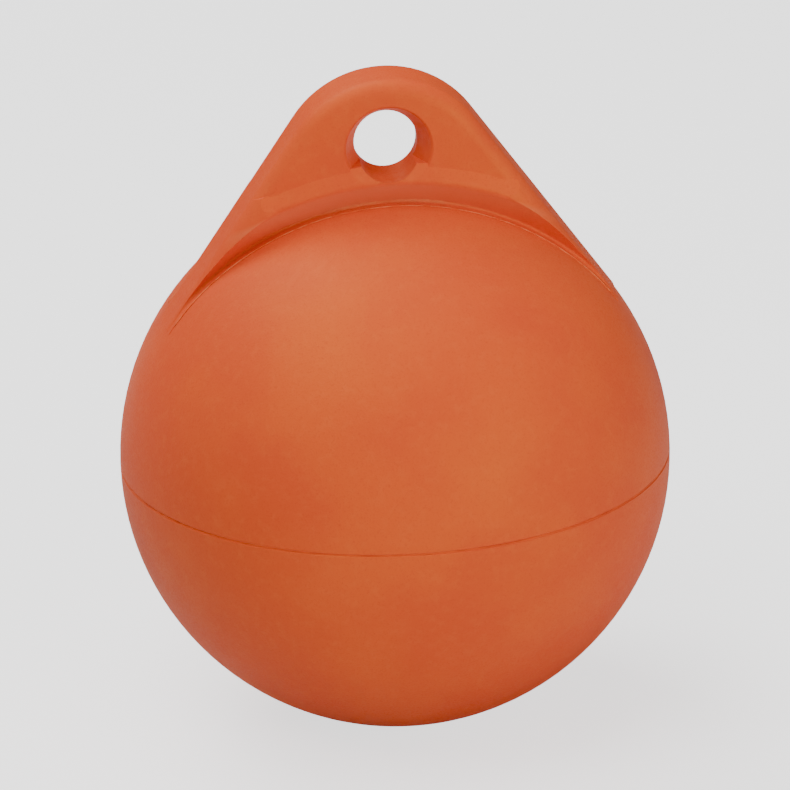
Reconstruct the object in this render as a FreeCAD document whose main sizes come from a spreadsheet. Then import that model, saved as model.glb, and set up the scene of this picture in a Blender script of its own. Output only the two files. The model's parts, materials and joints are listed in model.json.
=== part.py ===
import FreeCAD, Part
import math
import os
import Sketcher
from FreeCAD import Vector

# Eared fishing float: a hollow ball of hard plastic with a thick teardrop ear and a rope eye.
# Two mouldings are welded together at the ball's equator. Millimetres, +Z up through the ear,
# +Y through the eye. The parts are drawn about the ball's centre, then lifted by the ball's radius,
# so that the origin is the lowest point of the float.

DRIVING_SIZES = [
    ("ball_radius", 100.0, "outside of the ball"),
    ("wall_thickness", 6.0, "wall of both mouldings"),
    ("flange_radius", 89.5, "inside of the thick band beside the joint"),
    ("flange_height", 9.0, "where the thick band runs out into the wall"),
    ("seam_chamfer", 0.6, "bevel on each outer edge of the joint"),
    ("tongue_inner_radius", 92.5, "tongue of the lower moulding"),
    ("tongue_outer_radius", 96.0, "tongue of the lower moulding"),
    ("tongue_rise", 4.0, "height of the tongue above the joint"),
    ("groove_clearance", 0.2, "room round the tongue on either side"),
    ("flash_trap", 0.6, "room above the tongue for melted plastic"),
    ("outer_bead_size", 0.5, "trimmed weld line in the seam's bevel"),
    ("inner_bead_radius", 2.2, "roll of melted plastic inside the joint"),
    ("apex_radius", 39.0, "round top of the ear, seen from the front"),
    ("apex_height", 107.6, "centre of that round top above the ball's centre"),
    ("side_radius", 100.2, "circle that the ear's straight sides are tangent to"),
    ("root_radius", 97.0, "where the ear's foot ends, inside the ball's wall"),
    ("ear_thickness", 24.0, "the ear's plate"),
    ("ear_rounding", 5.5, "rounding of the ear's outer edges"),
    ("collar_thickness", 29.0, "collar along the ear's foot"),
    ("collar_end_rounding", 8.0, "rounding of the collar's ends, which brings them flush with the ear"),
    ("collar_nose", 2.5, "rounding of the collar's nose"),
    ("collar_overlap", 0.6, "how far the collar's slope runs into the plate"),
    ("hollow_rounding", 0.8, "small hollow where the collar's underside meets the ball"),
    ("hollow_offset", 9.3, "centre of that hollow, out from the ear's middle plane"),
    ("hollow_bite", 0.02, "how far the hollow runs into the ball, for a clean edge"),
    ("land_radius", 100.2, "raised mark left where the ear's tooling closed on the ball"),
    ("land_half_width", 11.5, "half the width of that mark"),
    ("eye_height", 121.6, "eye's axis above the ball's centre"),
    ("eye_radius", 11.5, "rope eye's throat"),
    ("eye_half_throat", 2.5, "half the length of the throat in the plate"),
    ("eye_mouth_radius", 15.4, "flared mouths of the eye"),
    ("eye_edge_bevel", 0.8, "bevel where a mouth opens on the plate's face"),
    ("eye_front_draft", 0.6, "how much wider the eye is where it leaves the collar's front"),
    ("cutter_reach", 165.0, "how far cutting shapes reach past the ear"),
]

document = FreeCAD.newDocument("eared_float")
sheet = document.addObject("Spreadsheet::Sheet", "sizes")
for row, (alias, number, note) in enumerate(DRIVING_SIZES, start=1):
    sheet.set(f"A{row}", alias)
    sheet.set(f"B{row}", str(number))
    sheet.setAlias(f"B{row}", alias)
    sheet.set(f"C{row}", note)
document.recompute()


class Size:
    """A number together with the spreadsheet formula that gives it."""

    def __init__(self, value, formula):
        self.value = value
        self.formula = formula

    def __add__(self, other):
        return Size(self.value + other.value, f"({self.formula} + {other.formula})")

    def __sub__(self, other):
        return Size(self.value - other.value, f"({self.formula} - {other.formula})")

    def __mul__(self, other):
        return Size(self.value * other.value, f"({self.formula} * {other.formula})")

    def __truediv__(self, other):
        return Size(self.value / other.value, f"({self.formula} / {other.formula})")

    def __neg__(self):
        return Size(-self.value, f"(-1 * {self.formula})")


def number(value):
    return Size(value, str(value))


def root(size):
    return Size(math.sqrt(size.value), f"sqrt({size.formula})")


def cell(alias):
    return Size(float(getattr(sheet, alias)), f"sizes.{alias}")


ZERO = number(0.0)
HALF = number(0.5)
ball_radius = cell("ball_radius")
wall_thickness = cell("wall_thickness")


def other_side(radius, offset):
    """The second coordinate of a point on a circle round the centre."""
    return root(radius * radius - offset * offset)


def origin_feature(body, role):
    return [feature for feature in body.Origin.OriginFeatures if feature.Role == role][0]


def add_sketch(body, name, plane):
    sketch = body.newObject("Sketcher::SketchObject", name)
    sketch.AttachmentSupport = (origin_feature(body, plane), "")
    sketch.MapMode = "FlatFace"
    return sketch


def pin(sketch, geometry, end, corner):
    """Hold one end of a line or arc at a corner, measured from the sketch's origin."""
    for kind, axis, size in (("DistanceX", -2, corner[0]), ("DistanceY", -1, corner[1])):
        if size.value == 0.0:
            sketch.addConstraint(Sketcher.Constraint("PointOnObject", geometry, end, axis))
            continue
        held = sketch.addConstraint(Sketcher.Constraint(kind, -1, 1, geometry, end, size.value))
        sketch.setExpression(f"Constraints[{held}]", size.formula)


def point(corner):
    return Vector(corner[0].value, corner[1].value, 0)


def draw_arc(sketch, start, end, centre, radius, turn):
    """Add an arc from start to end, and give its number and the two ends' numbers in that order."""
    middle = point(centre)
    first, last = (start, end) if turn == "left" else (end, start)
    angles = [math.atan2((point(p) - middle).y, (point(p) - middle).x) for p in (first, last)]
    if angles[1] < angles[0]:
        angles[1] += 2 * math.pi
    circle = Part.Circle(middle, Vector(0, 0, 1), radius.value)
    arc = sketch.addGeometry(Part.ArcOfCircle(circle, angles[0], angles[1]))
    held = sketch.addConstraint(Sketcher.Constraint("Radius", arc, radius.value))
    sketch.setExpression(f"Constraints[{held}]", radius.formula)
    return (arc, 1, 2) if turn == "left" else (arc, 2, 1)


def draw_loop(sketch, start, steps):
    """Draw a closed outline. A step is (corner,) for a line, (corner, centre, radius, turn) for an arc."""
    pieces = []
    here = start
    for step in steps:
        corner = step[0]
        if len(step) == 1:
            piece = (sketch.addGeometry(Part.LineSegment(point(here), point(corner))), 1, 2)
        else:
            piece = draw_arc(sketch, here, corner, *step[1:])
        pieces.append(piece)
        here = corner
    corners = [step[0] for step in steps]
    for index, piece in enumerate(pieces):
        following = pieces[(index + 1) % len(pieces)]
        sketch.addConstraint(Sketcher.Constraint("Coincident", piece[0], piece[2], following[0], following[1]))
        pin(sketch, piece[0], piece[2], corners[index])


def revolve(body, kind, name, sketch, axis):
    feature = body.newObject(kind, name)
    feature.Profile = sketch
    feature.ReferenceAxis = (origin_feature(body, axis), [""])
    feature.Angle = 360
    return feature


# --- the two mouldings' ball shells -------------------------------------------------------------

inner_radius = ball_radius - wall_thickness
flange_radius = cell("flange_radius")
seam_chamfer = cell("seam_chamfer")


def shell_section(sketch, side, joint_corners):
    """Half of the ball's wall in section: side is +1 for the upper half and -1 for the lower half."""
    sign = number(float(side))
    flange_height = cell("flange_height")
    flange_top = other_side(inner_radius, flange_height)
    slope_foot = flange_height - (flange_top - flange_radius)
    outward = "left" if side > 0 else "right"
    inward = "right" if side > 0 else "left"
    centre = (ZERO, ZERO)
    bevel = (other_side(ball_radius, seam_chamfer), sign * seam_chamfer)
    steps = [
        (bevel,),
        ((ZERO, sign * ball_radius), centre, ball_radius, outward),
        ((ZERO, sign * inner_radius),),
        ((flange_top, sign * flange_height), centre, inner_radius, inward),
        ((flange_radius, sign * slope_foot),),
        ((flange_radius, ZERO),),
    ]
    steps += [(corner,) for corner in joint_corners]
    lip = (ball_radius - seam_chamfer, ZERO)
    draw_loop(sketch, lip, steps + [(lip,)])


def make_shell_body(name, side, joint_corners):
    body = document.addObject("PartDesign::Body", name)
    sketch = add_sketch(body, name + "_section", "XZ_Plane")
    shell_section(sketch, side, joint_corners)
    revolve(body, "PartDesign::Revolution", name + "_turned", sketch, "Z_Axis")
    return body


tongue_in = cell("tongue_inner_radius")
tongue_out = cell("tongue_outer_radius")
tongue_rise = cell("tongue_rise")
clearance = cell("groove_clearance")
groove_top = tongue_rise + cell("flash_trap")

tongue = [(tongue_in, ZERO), (tongue_in, tongue_rise), (tongue_out, tongue_rise), (tongue_out, ZERO)]
groove = [
    (tongue_in - clearance, ZERO),
    (tongue_in - clearance, groove_top),
    (tongue_out + clearance, groove_top),
    (tongue_out + clearance, ZERO),
]
lower_shell = make_shell_body("lower_shell", -1, tongue)
dome = make_shell_body("dome", 1, groove)


# --- the ear ------------------------------------------------------------------------------------

apex_radius = cell("apex_radius")
apex_height = cell("apex_height")
side_radius = cell("side_radius")
root_radius = cell("root_radius")
side_sine = (side_radius - apex_radius) / apex_height
side_cosine = root(number(1.0) - side_sine * side_sine)


def mirrored(corner):
    return (-corner[0], corner[1])


def draw_ear_outline(sketch):
    """Teardrop seen from the front: a round top, and straight sides tangent to the ball."""
    shoulder = (apex_radius * side_cosine, apex_height + apex_radius * side_sine)
    foot = (side_radius * side_cosine, side_radius * side_sine)
    inner_foot = (root_radius * side_cosine, root_radius * side_sine)
    draw_loop(sketch, inner_foot, [
        (foot,),
        (shoulder,),
        (mirrored(shoulder), (ZERO, apex_height), apex_radius, "left"),
        (mirrored(foot),),
        (mirrored(inner_foot),),
        (inner_foot, (ZERO, ZERO), root_radius, "right"),
    ])


def outer_edges(shape, half_thickness):
    """Names of the edges of both faces that run along the ear's outline, not along its foot."""
    names = []
    for index, edge in enumerate(shape.Edges, start=1):
        box = edge.BoundBox
        on_face = box.YLength < 0.001 and abs(abs(box.YMax) - half_thickness) < 0.001
        middle = edge.valueAt((edge.FirstParameter + edge.LastParameter) / 2)
        clear_of_foot = math.hypot(middle.x, middle.z) > side_radius.value + 1.0
        if on_face and clear_of_foot:
            names.append(f"Edge{index}")
    return names


def make_ear_blank(name, thickness, edge_rounding):
    """The outline padded to both sides of the middle plane, with its outer edges rounded."""
    body = document.addObject("PartDesign::Body", name)
    sketch = add_sketch(body, name + "_outline", "XZ_Plane")
    draw_ear_outline(sketch)
    pad = body.newObject("PartDesign::Pad", name + "_pad")
    pad.Profile = sketch
    pad.SideType = "Symmetric"
    pad.setExpression("Length", thickness.formula)
    document.recompute()
    rounding = body.newObject("PartDesign::Fillet", name + "_rounding")
    rounding.Base = (pad, outer_edges(pad.Shape, thickness.value / 2))
    rounding.setExpression("Radius", edge_rounding.formula)
    document.recompute()
    return body


ear_thickness = cell("ear_thickness")
half_ear = ear_thickness * HALF
half_collar = cell("collar_thickness") * HALF
reach = cell("cutter_reach")
beyond = half_collar + number(2.0)
eye_height = cell("eye_height")
eye_radius = cell("eye_radius")

eye_half_throat = cell("eye_half_throat")
eye_mouth_radius = cell("eye_mouth_radius")
eye_bevel = cell("eye_edge_bevel")
eye_wall = eye_height + eye_radius
eye_mouth = eye_height + eye_mouth_radius
mouth_depth = half_ear - eye_bevel

ear_plate = make_ear_blank("ear_plate", ear_thickness, cell("ear_rounding"))


def turn_about_eye(body, sketch, kind, name):
    """Turn a section about the eye's axis, which is drawn in the sketch as a construction line."""
    axis = sketch.addGeometry(Part.LineSegment(point((-beyond, eye_height)), point((beyond, eye_height))), True)
    pin(sketch, axis, 1, (-beyond, eye_height))
    pin(sketch, axis, 2, (beyond, eye_height))
    feature = body.newObject(kind, name)
    feature.Profile = sketch
    feature.ReferenceAxis = (sketch, ["Axis0"])
    feature.Angle = 360
    return feature


def flare_eye_mouths(body):
    """Cut the throat and the two flared mouths out of the plate."""
    rim = eye_mouth + eye_bevel
    sketch = add_sketch(body, "eye_section", "YZ_Plane")
    draw_loop(sketch, (-beyond, eye_height), [
        ((-beyond, rim),),
        ((-half_ear, rim),),
        ((-mouth_depth, eye_mouth),),
        ((-eye_half_throat, eye_wall),),
        ((eye_half_throat, eye_wall),),
        ((mouth_depth, eye_mouth),),
        ((half_ear, rim),),
        ((beyond, rim),),
        ((beyond, eye_height),),
        ((-beyond, eye_height),),
    ])
    turn_about_eye(body, sketch, "PartDesign::Groove", "eye_mouths")


flare_eye_mouths(ear_plate)

# The collar is the thick band along the ear's foot. In section a slope runs out from the plate at
# 30 degrees from upright to a round nose. The underside runs back in to the ball with the tilt of a
# 3-4-5 triangle, and a small hollow joins it to the ball.
SLOPE_RUN = number(0.5)
SLOPE_RISE = root(number(0.75))
UNDERSIDE_RUN = number(0.6)
UNDERSIDE_RISE = number(0.8)

nose = cell("collar_nose")
hollow = cell("hollow_rounding")
hollow_y = cell("hollow_offset")
land_radius = cell("land_radius")
hollow_reach = land_radius + hollow - cell("hollow_bite")
hollow_r = other_side(hollow_reach, hollow_y)
hollow_end = hollow_reach - hollow
hollow_foot = (hollow_y * hollow_end / hollow_reach, hollow_r * hollow_end / hollow_reach)
underside_foot = (hollow_y - hollow * UNDERSIDE_RISE, hollow_r + hollow * UNDERSIDE_RUN)
nose_y = half_collar - nose
underside_rise = (nose_y + nose * UNDERSIDE_RISE - underside_foot[0]) * UNDERSIDE_RISE / UNDERSIDE_RUN
underside_top = (nose_y + nose * UNDERSIDE_RISE, underside_foot[1] + underside_rise)
nose_r = underside_top[1] + nose * UNDERSIDE_RUN

ear_collar = make_ear_blank("ear_collar", cell("collar_thickness"), cell("collar_end_rounding"))


def trim_collar_top(body):
    """Cut the blank away above the collar, turning about the axis that runs through the ball."""
    slope_foot = (nose_y + nose * SLOPE_RISE, nose_r + nose * SLOPE_RUN)
    slope_y = half_ear - cell("collar_overlap")
    slope_top = (slope_y, slope_foot[1] + (slope_foot[0] - slope_y) * SLOPE_RISE / SLOPE_RUN)
    centre = (nose_y, nose_r)
    sketch = add_sketch(body, "collar_top_section", "YZ_Plane")
    draw_loop(sketch, (beyond, nose_r), [
        ((beyond, reach),),
        ((-beyond, reach),),
        ((-beyond, nose_r),),
        ((-half_collar, nose_r),),
        (mirrored(slope_foot), mirrored(centre), nose, "right"),
        (mirrored(slope_top),),
        (slope_top,),
        (slope_foot,),
        ((half_collar, nose_r), centre, nose, "right"),
        ((beyond, nose_r),),
    ])
    revolve(body, "PartDesign::Groove", "collar_top", sketch, "Y_Axis")


trim_collar_top(ear_collar)


def make_underside_cutter():
    """Rings that cut away what lies under the collar, in front and behind, down into the ball."""
    body = document.addObject("PartDesign::Body", "underside_cutter")
    sketch = add_sketch(body, "underside_section", "YZ_Plane")
    low = root_radius - wall_thickness
    for place, turn_in, turn_out in ((lambda corner: corner, "right", "left"), (mirrored, "left", "right")):
        draw_loop(sketch, place((hollow_foot[0], low)), [
            (place(hollow_foot),),
            (place(underside_foot), place((hollow_y, hollow_r)), hollow, turn_in),
            (place(underside_top),),
            (place((half_collar, nose_r)), place((nose_y, nose_r)), nose, turn_out),
            (place((beyond, nose_r)),),
            (place((beyond, low)),),
            (place((hollow_foot[0], low)),),
        ])
    revolve(body, "PartDesign::Revolution", "underside_rings", sketch, "Y_Axis")
    return body


def make_tool_land():
    """The faint raised strip over the ball's crest, as wide as the side cores that made the ear."""
    body = document.addObject("PartDesign::Body", "tool_land")
    sketch = add_sketch(body, "tool_land_section", "YZ_Plane")
    half_width = cell("land_half_width")
    edge = other_side(land_radius, half_width)
    draw_loop(sketch, (half_width, root_radius), [
        ((half_width, edge),),
        ((-half_width, edge), (ZERO, ZERO), land_radius, "left"),
        ((-half_width, root_radius),),
        ((half_width, root_radius),),
    ])
    strip = body.newObject("PartDesign::Revolution", "tool_land_strip")
    strip.Profile = sketch
    strip.ReferenceAxis = (origin_feature(body, "Y_Axis"), [""])
    strip.Midplane = True
    strip.setExpression("Angle", f"2 * acos({side_sine.formula})")
    return body


def make_eye_tool():
    """What clears the eye through the collar: a slight draft to the front, the flare to the back."""
    body = document.addObject("PartDesign::Body", "eye_tool")
    flare = (eye_mouth_radius - eye_radius) / (mouth_depth - eye_half_throat)
    sketch = add_sketch(body, "eye_tool_section", "YZ_Plane")
    draw_loop(sketch, (-beyond, eye_height), [
        ((-beyond, eye_wall + cell("eye_front_draft")),),
        ((-eye_half_throat, eye_wall),),
        ((eye_half_throat, eye_wall),),
        ((beyond, eye_wall + flare * (beyond - eye_half_throat)),),
        ((beyond, eye_height),),
        ((-beyond, eye_height),),
    ])
    turn_about_eye(body, sketch, "PartDesign::Revolution", "eye_tool_turned")
    return body


underside_cutter = make_underside_cutter()
tool_land = make_tool_land()
eye_tool = make_eye_tool()

ear_blank = document.addObject("Part::MultiFuse", "ear_blank")
ear_blank.Shapes = [ear_plate, ear_collar]
ear = document.addObject("Part::Cut", "ear")
ear.Base = ear_blank
ear.Tool = underside_cutter
moulding = document.addObject("Part::MultiFuse", "moulding")
moulding.Shapes = [ear, tool_land, dome]
upper_shell = document.addObject("Part::Cut", "upper_shell")
upper_shell.Base = moulding
upper_shell.Tool = eye_tool


# --- the weld -----------------------------------------------------------------------------------

def make_outer_weld_bead():
    """Melted plastic left in the seam's bevel after the outside was trimmed."""
    body = document.addObject("PartDesign::Body", "outer_weld_bead")
    sketch = add_sketch(body, "outer_bead_section", "XZ_Plane")
    size = cell("outer_bead_size")
    lip = ball_radius - seam_chamfer
    draw_loop(sketch, (lip, ZERO), [
        ((lip + size, size),),
        ((lip + size, -size),),
        ((lip, ZERO),),
    ])
    revolve(body, "PartDesign::Revolution", "outer_bead_turned", sketch, "Z_Axis")
    return body


def make_inner_weld_bead():
    """The half-round roll that the weld squeezed out on the inside, which nothing trims."""
    body = document.addObject("PartDesign::Body", "inner_weld_bead")
    sketch = add_sketch(body, "inner_bead_section", "XZ_Plane")
    radius = cell("inner_bead_radius")
    middle = (flange_radius, ZERO)
    draw_loop(sketch, (flange_radius, -radius), [
        ((flange_radius, radius),),
        ((flange_radius - radius, ZERO), middle, radius, "left"),
        ((flange_radius, -radius), middle, radius, "left"),
    ])
    revolve(body, "PartDesign::Revolution", "inner_bead_turned", sketch, "Z_Axis")
    return body


sub_parts = [upper_shell, lower_shell, make_outer_weld_bead(), make_inner_weld_bead()]
for sub_part in sub_parts:
    sub_part.Label = sub_part.Name
    sub_part.setExpression("Placement.Base.z", ball_radius.formula)
document.recompute()


# --- checks and files ---------------------------------------------------------------------------

for item in document.Objects:
    failed = [state for state in item.State if state in ("Invalid", "Error")]
    if failed:
        raise RuntimeError(f"{item.Name} failed to build: {failed}")
for sub_part in sub_parts:
    shape = sub_part.Shape
    if shape.isNull() or not shape.isValid() or len(shape.Solids) != 1:
        raise RuntimeError(f"{sub_part.Label} is not one valid solid")

os.makedirs("parts", exist_ok=True)
for sub_part in sub_parts:
    shape = sub_part.Shape
    shape.exportStep(f"parts/{sub_part.Label}.step")
    box = shape.BoundBox
    print(f"{sub_part.Label}: {shape.Volume / 1000:.2f} cm3,"
          f" x {box.XMin:.2f} to {box.XMax:.2f}, y {box.YMin:.2f} to {box.YMax:.2f},"
          f" z {box.ZMin:.2f} to {box.ZMax:.2f}")
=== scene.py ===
# %% [markdown]
# # An eared fishing float
#
# The float is a hollow ball of hard orange plastic, about 200 mm across, with a thick teardrop ear
# on top and a round eye for a rope. Two mouldings make it: the upper half carries the ear, the lower
# half is plain, and a weld joins them round the ball's equator. Everything is nearly one colour, so the
# looks depend on four things: soft light on a large round form, a satin surface with a fine moulded
# grain, the shadow under the ear's collar, and the thin lines that the tools and the weld left.
#
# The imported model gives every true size. This lesson loads it, leaves its solids where they are,
# and adds what only a mesh and a material can show.

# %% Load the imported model
import json
import math

import bpy
from mathutils import Matrix, Vector


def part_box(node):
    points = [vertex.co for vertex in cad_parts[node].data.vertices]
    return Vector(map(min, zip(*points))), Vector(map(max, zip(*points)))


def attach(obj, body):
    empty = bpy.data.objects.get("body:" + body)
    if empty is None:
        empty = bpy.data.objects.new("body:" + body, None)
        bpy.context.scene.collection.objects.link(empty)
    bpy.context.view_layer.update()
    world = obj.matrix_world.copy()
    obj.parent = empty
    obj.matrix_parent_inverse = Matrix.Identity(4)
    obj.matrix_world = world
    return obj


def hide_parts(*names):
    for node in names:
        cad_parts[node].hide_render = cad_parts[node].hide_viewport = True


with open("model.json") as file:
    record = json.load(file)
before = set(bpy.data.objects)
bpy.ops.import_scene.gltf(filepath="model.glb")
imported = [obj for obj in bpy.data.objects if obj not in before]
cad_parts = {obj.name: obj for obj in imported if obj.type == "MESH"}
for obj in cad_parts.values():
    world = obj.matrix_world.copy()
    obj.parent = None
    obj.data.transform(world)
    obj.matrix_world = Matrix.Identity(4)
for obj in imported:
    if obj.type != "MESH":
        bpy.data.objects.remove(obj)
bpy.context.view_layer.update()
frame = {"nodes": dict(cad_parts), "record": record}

# %% [markdown]
# ## The sizes that the rest is worked out from
#
# The lower shell is as wide as the ball, so its width gives the ball's radius, and the ball's centre
# sits one radius up. The rope eye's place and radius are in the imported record, as its mount.

# %% Read the ball and the eye from the model
shell_low, shell_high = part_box("lower_shell")
BALL_RADIUS = (shell_high.x - shell_low.x) / 2
BALL_CENTRE = Vector((0.0, 0.0, shell_low.z + BALL_RADIUS))
EYE = frame["record"]["mounts"][0]
EYE_HEIGHT = EYE["pos_m"][2]
EYE_RADIUS = EYE["dims"]["r_mm"] / 1000
MM = 0.001
print("ball radius", round(BALL_RADIUS, 4), "eye", round(EYE_HEIGHT, 4), "radius", EYE_RADIUS)

# %% [markdown]
# ## The camera
#
# A long lens a few metres away keeps the ball round and the ear's sides nearly parallel. The camera
# looks down by about twenty degrees and stands a little to the left, so the top and the left side of
# the ear show as a band. It is turned by two degrees, so that the ear leans a little to the left.

# %% Set up the camera
CAMERA_LEFT = math.radians(6.5)
CAMERA_ABOVE = math.radians(21.45)
CAMERA_ROLL = math.radians(1.9)
CAMERA_DISTANCE = 40 * BALL_RADIUS
LENS_MM = 501.0
SENSOR_MM = 36.0
AIM_ABOVE_CENTRE = 20.6 * MM
FAR_LIMIT = 50.0

back = Vector((
    -math.sin(CAMERA_LEFT) * math.cos(CAMERA_ABOVE),
    -math.cos(CAMERA_LEFT) * math.cos(CAMERA_ABOVE),
    math.sin(CAMERA_ABOVE),
))
turn = (-back).to_track_quat("-Z", "Y") @ Matrix.Rotation(-CAMERA_ROLL, 4, "Z").to_quaternion()
camera_up = turn @ Vector((0, 1, 0))
bpy.ops.object.camera_add(location=BALL_CENTRE + back * CAMERA_DISTANCE + camera_up * AIM_ABOVE_CENTRE)
camera = bpy.context.active_object
camera.name = "camera"
camera.rotation_mode = "QUATERNION"
camera.rotation_quaternion = turn
camera.data.lens = LENS_MM
camera.data.sensor_width = SENSOR_MM
camera.data.clip_end = FAR_LIMIT
bpy.context.scene.camera = camera
print("camera stands", round(camera.location.length, 2), "m away")

# %% [markdown]
# ## Small helpers for materials
#
# A material is a tree of nodes. These helpers add a node with its settings, join two sockets, and
# make the few patterns that both finishes share: noise of a given grain size, a clean ramp from one
# value to another, and a mix of two colours. All patterns read Object coordinates in metres, so a
# scale of 1000 makes a grain of about a millimetre, and the pattern stays put on the plastic.

# %% Helpers for materials
class Finish:
    """A new material and the shader and nodes that belong to it."""

    def __init__(self, name):
        self.material = bpy.data.materials.new(name)
        self.material.use_nodes = True
        self.nodes = self.material.node_tree.nodes
        self.shader = self.nodes["Principled BSDF"]
        self.place = self.nodes.new("ShaderNodeTexCoord").outputs["Object"]

    def link(self, source, target):
        self.material.node_tree.links.new(source, target)

    def feed(self, socket, value):
        if isinstance(value, bpy.types.NodeSocket):
            self.link(value, socket)
        else:
            socket.default_value = value

    def set_gloss(self, tint, level):
        self.shader.inputs["Specular Tint"].default_value = tint
        self.shader.inputs["Specular IOR Level"].default_value = level

    def noise(self, grain, detail=3.0, roughness=0.5, vector=None):
        """Cloudy noise whose blotches are about one grain across, in metres."""
        node = self.nodes.new("ShaderNodeTexNoise")
        node.inputs["Scale"].default_value = 1.0 / grain
        node.inputs["Detail"].default_value = detail
        node.inputs["Roughness"].default_value = roughness
        self.link(vector or self.place, node.inputs["Vector"])
        return node.outputs["Fac"]

    def ramp(self, value, start, end, low=0.0, high=1.0):
        """Low up to start, high from end on, and a smooth step between them."""
        node = self.nodes.new("ShaderNodeMapRange")
        node.interpolation_type = "SMOOTHSTEP"
        self.link(value, node.inputs["Value"])
        for name, number in (("From Min", start), ("From Max", end), ("To Min", low), ("To Max", high)):
            node.inputs[name].default_value = number
        return node.outputs["Result"]

    def combine(self, operation, first, second):
        """One arithmetic operation on two numbers or sockets."""
        node = self.nodes.new("ShaderNodeMath")
        node.operation = operation
        self.feed(node.inputs[0], first)
        self.feed(node.inputs[1], second)
        return node.outputs[0]

    def mix(self, amount, first, second):
        node = self.nodes.new("ShaderNodeMix")
        node.data_type = "RGBA"
        self.feed(node.inputs["Factor"], amount)
        self.feed(node.inputs["A"], first)
        self.feed(node.inputs["B"], second)
        return node.outputs["Result"]

    def bump(self, height, depth, strength=1.0, normal=None):
        """Turn a height from 0 to 1 into relief that is depth metres deep."""
        node = self.nodes.new("ShaderNodeBump")
        node.inputs["Distance"].default_value = depth
        node.inputs["Strength"].default_value = strength
        self.link(height, node.inputs["Height"])
        if normal:
            self.link(normal, node.inputs["Normal"])
        return node.outputs["Normal"]


def dress(piece, material):
    piece.data.materials.clear()
    piece.data.materials.append(material)


# %% [markdown]
# ## Where the float is worn, and the painted light in the crease
#
# Wear follows use, so it is placed by measuring, not by painting. The rope rubs the eye's walls and
# the rims of its mouths, which are found by their distance from the eye's axis. The crease under the
# collar is given a paler orange, which is painted light: it lifts the shade there, so that the crease
# doesn't turn as dark and red as light that bounces between two orange walls makes it. The collar runs
# round a line along Y through the ball's centre, so the crease is found by its distance from that line,
# by how far it is from the middle of the ear, and by its height, because the painted light fades out
# at the collar's ends.

# %% Helpers that find a place on the float
CREASE_START = BALL_RADIUS - 1.0 * MM
CREASE_FULL = BALL_RADIUS + 0.8 * MM
NOSE_UNDERSIDE = BALL_RADIUS + 7.5 * MM
NOSE_FRONT = BALL_RADIUS + 9.5 * MM
EAR_SIDE_INNER = 7.5 * MM
EAR_SIDE_OUTER = 9.0 * MM
# Heights over which the painted light in the crease fades in from the collar's ends.
PAINTED_LIGHT_ENDS_HEIGHT = 186 * MM
PAINTED_LIGHT_FULL_HEIGHT = 201 * MM


def distance_from_bar(finish, height):
    """How far a point is from a line along Y at this height above the floor."""
    flat = finish.nodes.new("ShaderNodeVectorMath")
    flat.operation = "MULTIPLY_ADD"
    flat.inputs[1].default_value = (1, 0, 1)
    flat.inputs[2].default_value = (0, 0, -height)
    finish.link(finish.place, flat.inputs[0])
    length = finish.nodes.new("ShaderNodeVectorMath")
    length.operation = "LENGTH"
    finish.link(flat.outputs["Vector"], length.inputs[0])
    return length.outputs["Value"]


def along(finish, axis):
    node = finish.nodes.new("ShaderNodeSeparateXYZ")
    finish.link(finish.place, node.inputs["Vector"])
    return node.outputs[axis]


def under_the_collar(finish):
    """One in the crease between the collar and the ball, and zero elsewhere."""
    # This mask places the painted light that lifts the shade in the crease.
    out_from_ball = distance_from_bar(finish, BALL_CENTRE.z)
    above_ball = finish.ramp(out_from_ball, CREASE_START, CREASE_FULL)
    below_nose = finish.ramp(out_from_ball, NOSE_FRONT, NOSE_UNDERSIDE)
    sideways = finish.combine("ABSOLUTE", along(finish, "Y"), 0.0)
    beside_ear = finish.ramp(sideways, EAR_SIDE_INNER, EAR_SIDE_OUTER)
    fades_at_ends = finish.ramp(along(finish, "Z"), PAINTED_LIGHT_ENDS_HEIGHT, PAINTED_LIGHT_FULL_HEIGHT)
    crease = finish.combine("MULTIPLY", finish.combine("MULTIPLY", above_ball, below_nose), beside_ear)
    return finish.combine("MULTIPLY", crease, fades_at_ends)


print("crease starts", round(CREASE_START / MM, 1), "mm out, nose ends", round(NOSE_FRONT / MM, 1), "mm out")

# %% [markdown]
# ## Scuffs on the belly
#
# The belly of the ball is dragged over decks, which leaves fine scratches that run mostly two ways.
# Each set is noise on coordinates that are turned and then squeezed along one axis, so that round
# specks become streaks. Only the highest specks count, they come in patches, and they fade towards
# the top of the ball. Scratches could be modelled, but at a few hundredths of a millimetre deep they
# are too fine for a mesh.

# %% Helpers that scatter the scuffs
SCRATCH_WIDTH = 1.0 * MM
SCUFF_PATCH = 60 * MM
BELLY_TOP = 0.95 * BALL_RADIUS
BELLY_FULL = 0.15 * BALL_RADIUS
SCUFFS_ON_BELLY = 0.9
SCUFFS_EVERYWHERE = 0.28


def stretched(finish, angle, lengths):
    """Object coordinates turned about Y and squeezed, so that noise on them runs in streaks."""
    node = finish.nodes.new("ShaderNodeMapping")
    node.inputs["Rotation"].default_value = (angle * 0.4, angle, angle * 0.7)
    node.inputs["Scale"].default_value = lengths
    finish.link(finish.place, node.inputs["Vector"])
    return node.outputs["Vector"]


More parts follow.
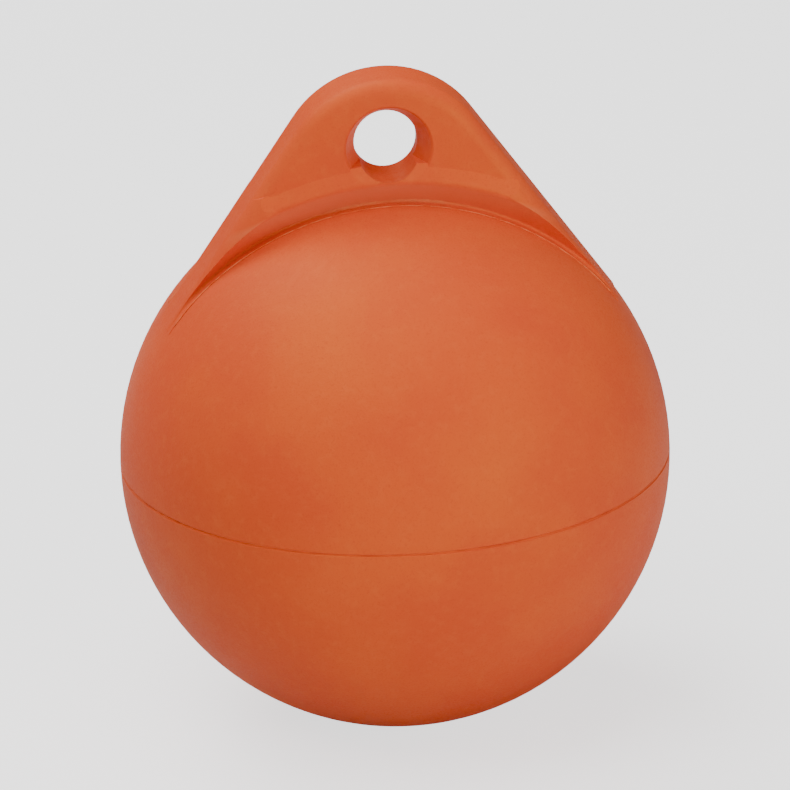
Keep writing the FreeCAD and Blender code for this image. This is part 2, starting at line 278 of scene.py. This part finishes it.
def scatter_scuffs(finish):
    upright = finish.noise(SCRATCH_WIDTH, detail=2, vector=stretched(finish, 0.5, (1.0, 1.0, 0.035)))
    across = finish.noise(SCRATCH_WIDTH, detail=2, vector=stretched(finish, -1.1, (1.0, 0.05, 1.0)))
    scuffs = finish.combine("MAXIMUM", finish.ramp(upright, 0.70, 0.76), finish.ramp(across, 0.71, 0.77))
    patches = finish.ramp(finish.noise(SCUFF_PATCH, detail=1), 0.42, 0.62)
    belly = finish.ramp(along(finish, "Z"), BELLY_TOP, BELLY_FULL)
    amount = finish.combine("MAXIMUM", finish.combine("MULTIPLY", belly, SCUFFS_ON_BELLY), SCUFFS_EVERYWHERE)
    return finish.combine("MULTIPLY", finish.combine("MULTIPLY", scuffs, patches), amount)


print("scratches about", round(SCRATCH_WIDTH / MM, 1), "mm wide")

# %% [markdown]
# ## The moulded orange plastic
#
# The real thing is hard plastic, coloured through. It isn't evenly orange: pigment drifts in slow
# clouds, so two close oranges are mixed by noise with blotches of a few centimetres, and finer noise
# adds mottling. The mould was blasted, so the skin has a fine grain with a slight orange peel under
# it, and the gloss comes and goes with the grain. The gloss is warm, because the light that comes
# back has been just under the tinted skin. Rubbed and scuffed places are paler. Rubbing makes the
# skin smoother and scuffing makes it rougher.

# %% Make the shells' plastic
ORANGE = (0.80, 0.104, 0.025, 1)
DEEP_ORANGE = (0.76, 0.085, 0.025, 1)
WORN_ORANGE = (0.83, 0.135, 0.036, 1)
DARK_SPECK = (0.67, 0.060, 0.023, 1)
# The paler orange below is painted light that lifts the shade in the crease under the collar.
CREASE_PAINTED_LIGHT_ORANGE = (0.82, 0.205, 0.085, 1)
WARM_GLOSS = (1.0, 1.0, 0.06, 1)
GLOSS_LEVEL = 0.24
PIGMENT_CLOUD = 45 * MM
MOTTLE_SIZE = 3.5 * MM
PEEL_SIZE = 2.2 * MM
PEEL_DEPTH = 0.05 * MM
GRAIN_SIZE = 0.75 * MM
GRAIN_DEPTH = 0.08 * MM
SCUFF_DEPTH = 0.04 * MM
RUB_ENDS = EYE_RADIUS + 4.6 * MM
RUB_FULL = EYE_RADIUS + 3.2 * MM


def make_moulded_plastic():
    finish = Finish("moulded_orange")
    clouds = finish.noise(PIGMENT_CLOUD, detail=2)
    mottle = finish.noise(MOTTLE_SIZE, detail=4, roughness=0.6)
    peel = finish.noise(PEEL_SIZE, detail=1)
    grain = finish.noise(GRAIN_SIZE, detail=3, roughness=0.65)
    rub = finish.ramp(distance_from_bar(finish, EYE_HEIGHT), RUB_ENDS, RUB_FULL)
    rub = finish.combine("MULTIPLY", rub, finish.ramp(mottle, 0.35, 0.65, low=0.5))
    scuffs = scatter_scuffs(finish)
    # Painted light in the crease, stronger or weaker with the pigment clouds.
    painted_light_strength = finish.ramp(clouds, 0.2, 0.8, low=0.45, high=0.75)
    crease_painted_light = finish.combine("MULTIPLY", under_the_collar(finish), painted_light_strength)

    color = finish.mix(finish.ramp(clouds, 0.35, 0.65), ORANGE, DEEP_ORANGE)
    color = finish.mix(finish.ramp(mottle, 0.45, 0.75, high=0.35), color, WORN_ORANGE)
    color = finish.mix(finish.ramp(grain, 0.50, 0.72, high=0.45), color, DARK_SPECK)
    color = finish.mix(finish.combine("MULTIPLY", rub, 0.35), color, WORN_ORANGE)
    color = finish.mix(finish.combine("MULTIPLY", scuffs, 0.6), color, WORN_ORANGE)
    # Painted light: the crease under the collar is lifted towards a paler orange.
    color = finish.mix(crease_painted_light, color, CREASE_PAINTED_LIGHT_ORANGE)
    finish.link(color, finish.shader.inputs["Base Color"])

    rough = finish.ramp(grain, 0.3, 0.7, low=0.47, high=0.60)
    rough = finish.combine("ADD", rough, finish.ramp(clouds, 0.3, 0.7, low=-0.03, high=0.03))
    rough = finish.combine("SUBTRACT", rough, finish.combine("MULTIPLY", rub, 0.14))
    rough = finish.combine("ADD", rough, finish.combine("MULTIPLY", scuffs, 0.15))
    finish.link(rough, finish.shader.inputs["Roughness"])
    finish.set_gloss(WARM_GLOSS, GLOSS_LEVEL)

    relief = finish.bump(peel, PEEL_DEPTH, strength=0.5)
    relief = finish.bump(grain, GRAIN_DEPTH, normal=relief)
    relief = finish.bump(finish.combine("SUBTRACT", 1.0, scuffs), SCUFF_DEPTH, normal=relief)
    finish.link(relief, finish.shader.inputs["Normal"])
    return finish.material


plastic = make_moulded_plastic()
for name in ("upper_shell", "lower_shell"):
    dress(frame["nodes"][name], plastic)
print("shells dressed with", plastic.name, "of", len(plastic.node_tree.nodes), "nodes")

# %% [markdown]
# ## The melted plastic of the weld
#
# Plastic that has melted and been trimmed is duller and a shade darker than the moulded skin, and it
# is lumpy at the scale of a millimetre. The roll inside the ball was never trimmed, so it keeps this
# finish too.

# %% Make the weld's plastic
MELTED_ORANGE = (0.80, 0.100, 0.023, 1)
SCORCHED_ORANGE = (0.66, 0.066, 0.019, 1)
LUMP_SIZE = 1.6 * MM
LUMP_DEPTH = 0.12 * MM
RUN_SIZE = 9 * MM


def make_weld_plastic():
    finish = Finish("melted_orange")
    lumps = finish.noise(LUMP_SIZE, detail=3)
    runs = finish.noise(RUN_SIZE, detail=2)
    color = finish.mix(finish.ramp(runs, 0.4, 0.7), MELTED_ORANGE, SCORCHED_ORANGE)
    finish.link(color, finish.shader.inputs["Base Color"])
    finish.link(finish.ramp(lumps, 0.3, 0.7, low=0.5, high=0.72), finish.shader.inputs["Roughness"])
    finish.set_gloss(WARM_GLOSS, GLOSS_LEVEL)
    finish.link(finish.bump(lumps, LUMP_DEPTH, strength=0.8), finish.shader.inputs["Normal"])
    return finish.material


weld_plastic = make_weld_plastic()
dress(frame["nodes"]["inner_weld_bead"], weld_plastic)
print("inner weld dressed with", weld_plastic.name)

# %% [markdown]
# ## Thin rings to start from
#
# The weld line and the flash lines are all thin and run round the ball, so each starts as a torus
# that is made at its true size and place. A section could be spun instead, but a torus comes with
# both of its radii as plain numbers, which are the two sizes that a ridge of melted plastic has.
# Blender's torus takes at most 256 steps round. That makes a step of about 2.4 mm here, and the ring
# strays from a true circle by less than a hundredth of a millimetre.

# %% Helper that starts a thin ring
RING_STEPS = 256
RING_SIDES = 8


def add_ring(name, centre, ring_radius, thickness, turned=(0, 0, 0)):
    bpy.ops.object.select_all(action="DESELECT")
    bpy.ops.mesh.primitive_torus_add(
        location=centre,
        rotation=turned,
        major_radius=ring_radius,
        minor_radius=thickness / 2,
        major_segments=RING_STEPS,
        minor_segments=RING_SIDES,
    )
    ring = bpy.context.active_object
    ring.name = name
    bpy.ops.object.transform_apply(location=True, rotation=True, scale=True)
    bpy.ops.object.shade_smooth()
    print(name, "starts with", len(ring.data.vertices), "points")
    return ring


# %% [markdown]
# ## The weld line round the equator
#
# On the real float the two halves were melted together and the ridge was trimmed back into a small
# groove, which left a thin line that is nowhere quite even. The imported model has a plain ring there.
# Two displacements with cloudy textures do what a hand with a scraper did: the first makes the line
# thicker and thinner every few millimetres, and the second lets it wander up and down a little.

# %% Model the weld line
WELD_RING_RADIUS = BALL_RADIUS - 0.50 * MM
WELD_THICKNESS = 0.66 * MM
SCRAPER_MARK = 7 * MM
SCRAPER_DEPTH = 0.30 * MM
WANDER_LENGTH = 30 * MM
WANDER_HEIGHT = 0.60 * MM


def make_uneven(piece, name, blotch, amount, direction):
    clouds = bpy.data.textures.new(name, "CLOUDS")
    clouds.noise_scale = blotch
    clouds.noise_depth = 1
    marks = piece.modifiers.new(name, "DISPLACE")
    marks.texture = clouds
    marks.texture_coords = "LOCAL"
    marks.direction = direction
    marks.strength = amount
    marks.mid_level = 0.5
    bpy.context.view_layer.objects.active = piece
    bpy.ops.object.modifier_apply(modifier=marks.name)


weld_line = add_ring("weld_line", BALL_CENTRE, WELD_RING_RADIUS, WELD_THICKNESS)
make_uneven(weld_line, "scraper_marks", SCRAPER_MARK, SCRAPER_DEPTH, "NORMAL")
make_uneven(weld_line, "wander", WANDER_LENGTH, WANDER_HEIGHT, "Z")
dress(weld_line, weld_plastic)
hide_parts("outer_weld_bead")
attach(weld_line, "root")
print("weld line stands", round(max(v.co.xy.length for v in weld_line.data.vertices) * 1000, 3), "mm out")

# %% [markdown]
# ## The flash lines beside the ear
#
# The ear was moulded between two side cores that close on the ball. Where a core meets the rest of
# the mould a hair of plastic squeezes out and stays as a thin raised line on the ball, one in front
# of the ear and one behind it. Each line is part of a circle in a plane parallel to the ear, so it
# starts as a thin ring round the ball, turned upright. The bisect tool cuts away what lies below the
# ear's feet and closes the two ends. The lines are coloured pale orange as a painted highlight.

# %% Model the flash lines
FLASH_OFFSET = 11.5 * MM
FLASH_STANDS_OUT = 0.17 * MM
FLASH_RING_RADIUS = math.sqrt((BALL_RADIUS + FLASH_STANDS_OUT) ** 2 - FLASH_OFFSET ** 2)
FLASH_THICKNESS = 0.42 * MM
FLASH_END_ABOVE_CENTRE = 0.60 * BALL_RADIUS
UPRIGHT = (math.pi / 2, 0, 0)
# A pale orange painted on the flash lines as a painted highlight along their ridge.
FLASH_PAINTED_HIGHLIGHT_ORANGE = (0.86, 0.20, 0.075, 1)
NICK_SIZE = 4 * MM
NICK_DEPTH = 0.05 * MM


def make_flash_plastic():
    finish = Finish("flash_painted_highlight")
    nicks = finish.noise(NICK_SIZE, detail=3)
    # Painted highlight: the lines turn pale orange where the noise allows.
    color = finish.mix(finish.ramp(nicks, 0.4, 0.6), FLASH_PAINTED_HIGHLIGHT_ORANGE, ORANGE)
    finish.link(color, finish.shader.inputs["Base Color"])
    finish.link(finish.ramp(nicks, 0.3, 0.7, low=0.45, high=0.6), finish.shader.inputs["Roughness"])
    finish.set_gloss(WARM_GLOSS, GLOSS_LEVEL)
    finish.link(finish.bump(nicks, NICK_DEPTH), finish.shader.inputs["Normal"])
    return finish.material


flash_plastic = make_flash_plastic()


def make_flash_line(name, offset):
    centre = BALL_CENTRE + Vector((0, offset, 0))
    line = add_ring(name, centre, FLASH_RING_RADIUS, FLASH_THICKNESS, UPRIGHT)
    bpy.ops.object.mode_set(mode="EDIT")
    bpy.ops.mesh.select_all(action="SELECT")
    bpy.ops.mesh.bisect(
        plane_co=BALL_CENTRE + Vector((0, 0, FLASH_END_ABOVE_CENTRE)),
        plane_no=(0, 0, 1),
        use_fill=True,
        clear_inner=True,
    )
    bpy.ops.object.mode_set(mode="OBJECT")
    dress(line, flash_plastic)
    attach(line, "root")
    return line


make_flash_line("flash_line_front", -FLASH_OFFSET)
make_flash_line("flash_line_back", FLASH_OFFSET)

# %% [markdown]
# ## The floor
#
# The float stands on plain pale paper. The paper glows a little, but only for the camera: a floor
# that really shone would light the ball from below, and the deep red of its lower left side would
# wash out.

# %% Lay the floor
FLOOR_SIZE = 40.0
PAPER_GLOW = 1.6
bpy.ops.object.select_all(action="DESELECT")
bpy.ops.mesh.primitive_plane_add(size=FLOOR_SIZE, location=(0, 0, 0))
floor = bpy.context.active_object
floor.name = "floor"
paper = Finish("pale_paper")
paper_tone = paper.mix(paper.noise(0.4, detail=2), (0.72, 0.72, 0.72, 1), (0.69, 0.69, 0.69, 1))
paper.link(paper_tone, paper.shader.inputs["Base Color"])
paper.shader.inputs["Roughness"].default_value = 0.9
paper.shader.inputs["Emission Color"].default_value = (1, 1, 1, 1)
seen_directly = paper.nodes.new("ShaderNodeLightPath").outputs["Is Camera Ray"]
paper.link(paper.combine("MULTIPLY", seen_directly, PAPER_GLOW), paper.shader.inputs["Emission Strength"])
dress(floor, paper.material)
print("floor laid,", FLOOR_SIZE, "m across")

# %% [markdown]
# ## The soft light
#
# Soft light does most of the modelling. Three large boxes high up, the strongest behind on the left,
# make the wide pale patch on the upper left of the ball. One low on the right fills the front, and a
# weak one on the far right keeps that edge from going dark. Nothing shines from the lower left, so
# the plastic turns to a deeper red there. A trace of even light keeps the shadows open. The powers
# were first worked out together, so that each side of the ball gets its share, and then rounded and
# adjusted.

# %% Hang the lights
WORLD_STRENGTH = 0.02
SOFTBOX_DISTANCE = 2.0
SOFTBOX_SIZE = 1.2
SOFTBOXES = {
    "softbox_top": ((0.0, 0.0, 1.0), 11.5),
    "softbox_top_left_behind": ((-0.35, 0.45, 0.82), 26.0),
    "softbox_top_left_front": ((-0.40, -0.40, 0.82), 21.5),
    "softbox_right_low": ((0.55, -0.82, 0.14), 25.5),
    "softbox_right": ((1.0, -0.1, 0.35), 2.6),
}

world = bpy.data.worlds.new("studio")
bpy.context.scene.world = world
world.use_nodes = True
world.node_tree.nodes["Background"].inputs["Color"].default_value = (1, 1, 1, 1)
world.node_tree.nodes["Background"].inputs["Strength"].default_value = WORLD_STRENGTH


def hang_softbox(name, direction, power):
    where = BALL_CENTRE + Vector(direction).normalized() * SOFTBOX_DISTANCE
    bpy.ops.object.light_add(type="AREA", location=where)
    light = bpy.context.active_object
    light.name = name
    light.data.size = SOFTBOX_SIZE
    light.data.energy = power
    light.rotation_euler = (BALL_CENTRE - where).to_track_quat("-Z", "Y").to_euler()


for name, (direction, power) in SOFTBOXES.items():
    hang_softbox(name, direction, power)
print(len(SOFTBOXES), "softboxes hung")
